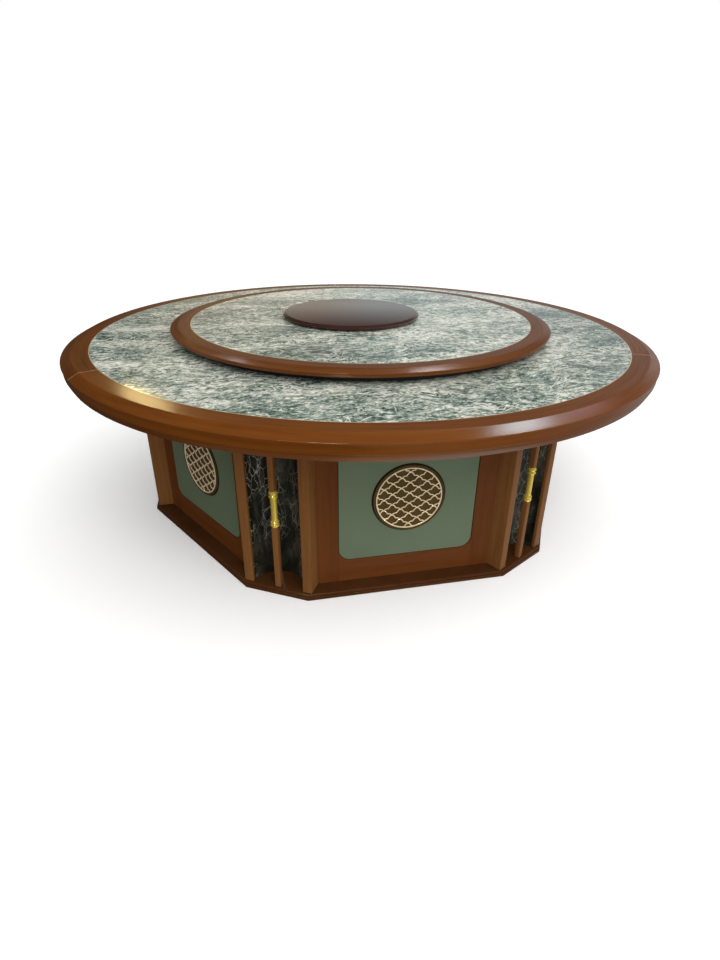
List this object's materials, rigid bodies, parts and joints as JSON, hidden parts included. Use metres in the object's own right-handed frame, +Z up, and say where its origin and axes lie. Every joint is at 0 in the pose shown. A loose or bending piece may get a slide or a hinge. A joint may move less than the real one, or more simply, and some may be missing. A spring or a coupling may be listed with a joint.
{
  "type": "banquet table",
  "caption": "Round stone-topped banquet table with a hand-turned turntable, a loose flower plate and a twelve-sided panelled wooden base with half-round niches.",
  "frame": {"origin": "on the floor at the middle of the base, which is also the turntable's axis", "axes": "+Z up; one of the six long sides of the base faces -Y, and the narrow sides with the niches lie between the long ones"},
  "size_m": [2.42, 2.42, 0.822],
  "materials": {
    "walnut": "satin lacquer",
    "dark_wood": "gloss lacquer",
    "board": "plain board",
    "black_board": "painted black",
    "green_paint": "satin paint",
    "brown_wood": "satin lacquer",
    "gold": "pale gold, satin",
    "brass": "polished",
    "dark_marble": "polished",
    "green_marble": "polished",
    "steel": "zinc plated",
    "felt": "felt"
  },
  "bodies": {
    "base": {"plinth_board": "walnut", "plinth_moulding": "walnut", "corner_posts_1": "walnut", "corner_posts_2": "walnut", "corner_posts_3": "walnut", "corner_posts_4": "walnut", "corner_posts_5": "walnut", "corner_posts_6": "walnut", "panel_frame_1": "walnut", "panel_frame_2": "walnut", "panel_frame_3": "walnut", "panel_frame_4": "walnut", "panel_frame_5": "walnut", "panel_frame_6": "walnut", "slat_1": "walnut", "slat_2": "walnut", "slat_3": "walnut", "slat_4": "walnut", "slat_5": "walnut", "slat_6": "walnut", "rim_segment_1": "walnut", "rim_segment_2": "walnut", "rim_segment_3": "walnut", "core_ribs": "board", "cabinet_top_board": "board", "top_substrate": "board", "green_panel_1": "green_paint", "green_panel_2": "green_paint", "green_panel_3": "green_paint", "green_panel_4": "green_paint", "green_panel_5": "green_paint", "green_panel_6": "green_paint", "medallion_backs": "brown_wood", "lattice_1": "gold", "lattice_2": "gold", "lattice_3": "gold", "lattice_4": "gold", "lattice_5": "gold", "lattice_6": "gold", "brass_sleeve_1": "brass", "brass_sleeve_2": "brass", "brass_sleeve_3": "brass", "brass_sleeve_4": "brass", "brass_sleeve_5": "brass", "brass_sleeve_6": "brass", "niche_lining_1": "dark_marble", "niche_lining_2": "dark_marble", "niche_lining_3": "dark_marble", "niche_lining_4": "dark_marble", "niche_lining_5": "dark_marble", "niche_lining_6": "dark_marble", "marble_top": "green_marble", "bearing_lower_plate": "steel"},
    "turntable": {"bearing_upper_plate": "steel", "turntable_board": "black_board", "turntable_rim": "walnut", "turntable_marble": "green_marble"},
    "plate": {"plate_pads": "felt", "flower_plate": "dark_wood"}
  },
  "joints": [
    {"name": "turntable_spin", "type": "hinge", "parent": "base", "child": "turntable", "pos_m": [0, 0, 0.75], "axis": [0, 0, 1], "continuous": true},
    {"name": "flower_plate_lift", "type": "slide", "parent": "turntable", "child": "plate", "axis": [0, 0, 1], "range_m": [0, 0.15]}
  ]
}
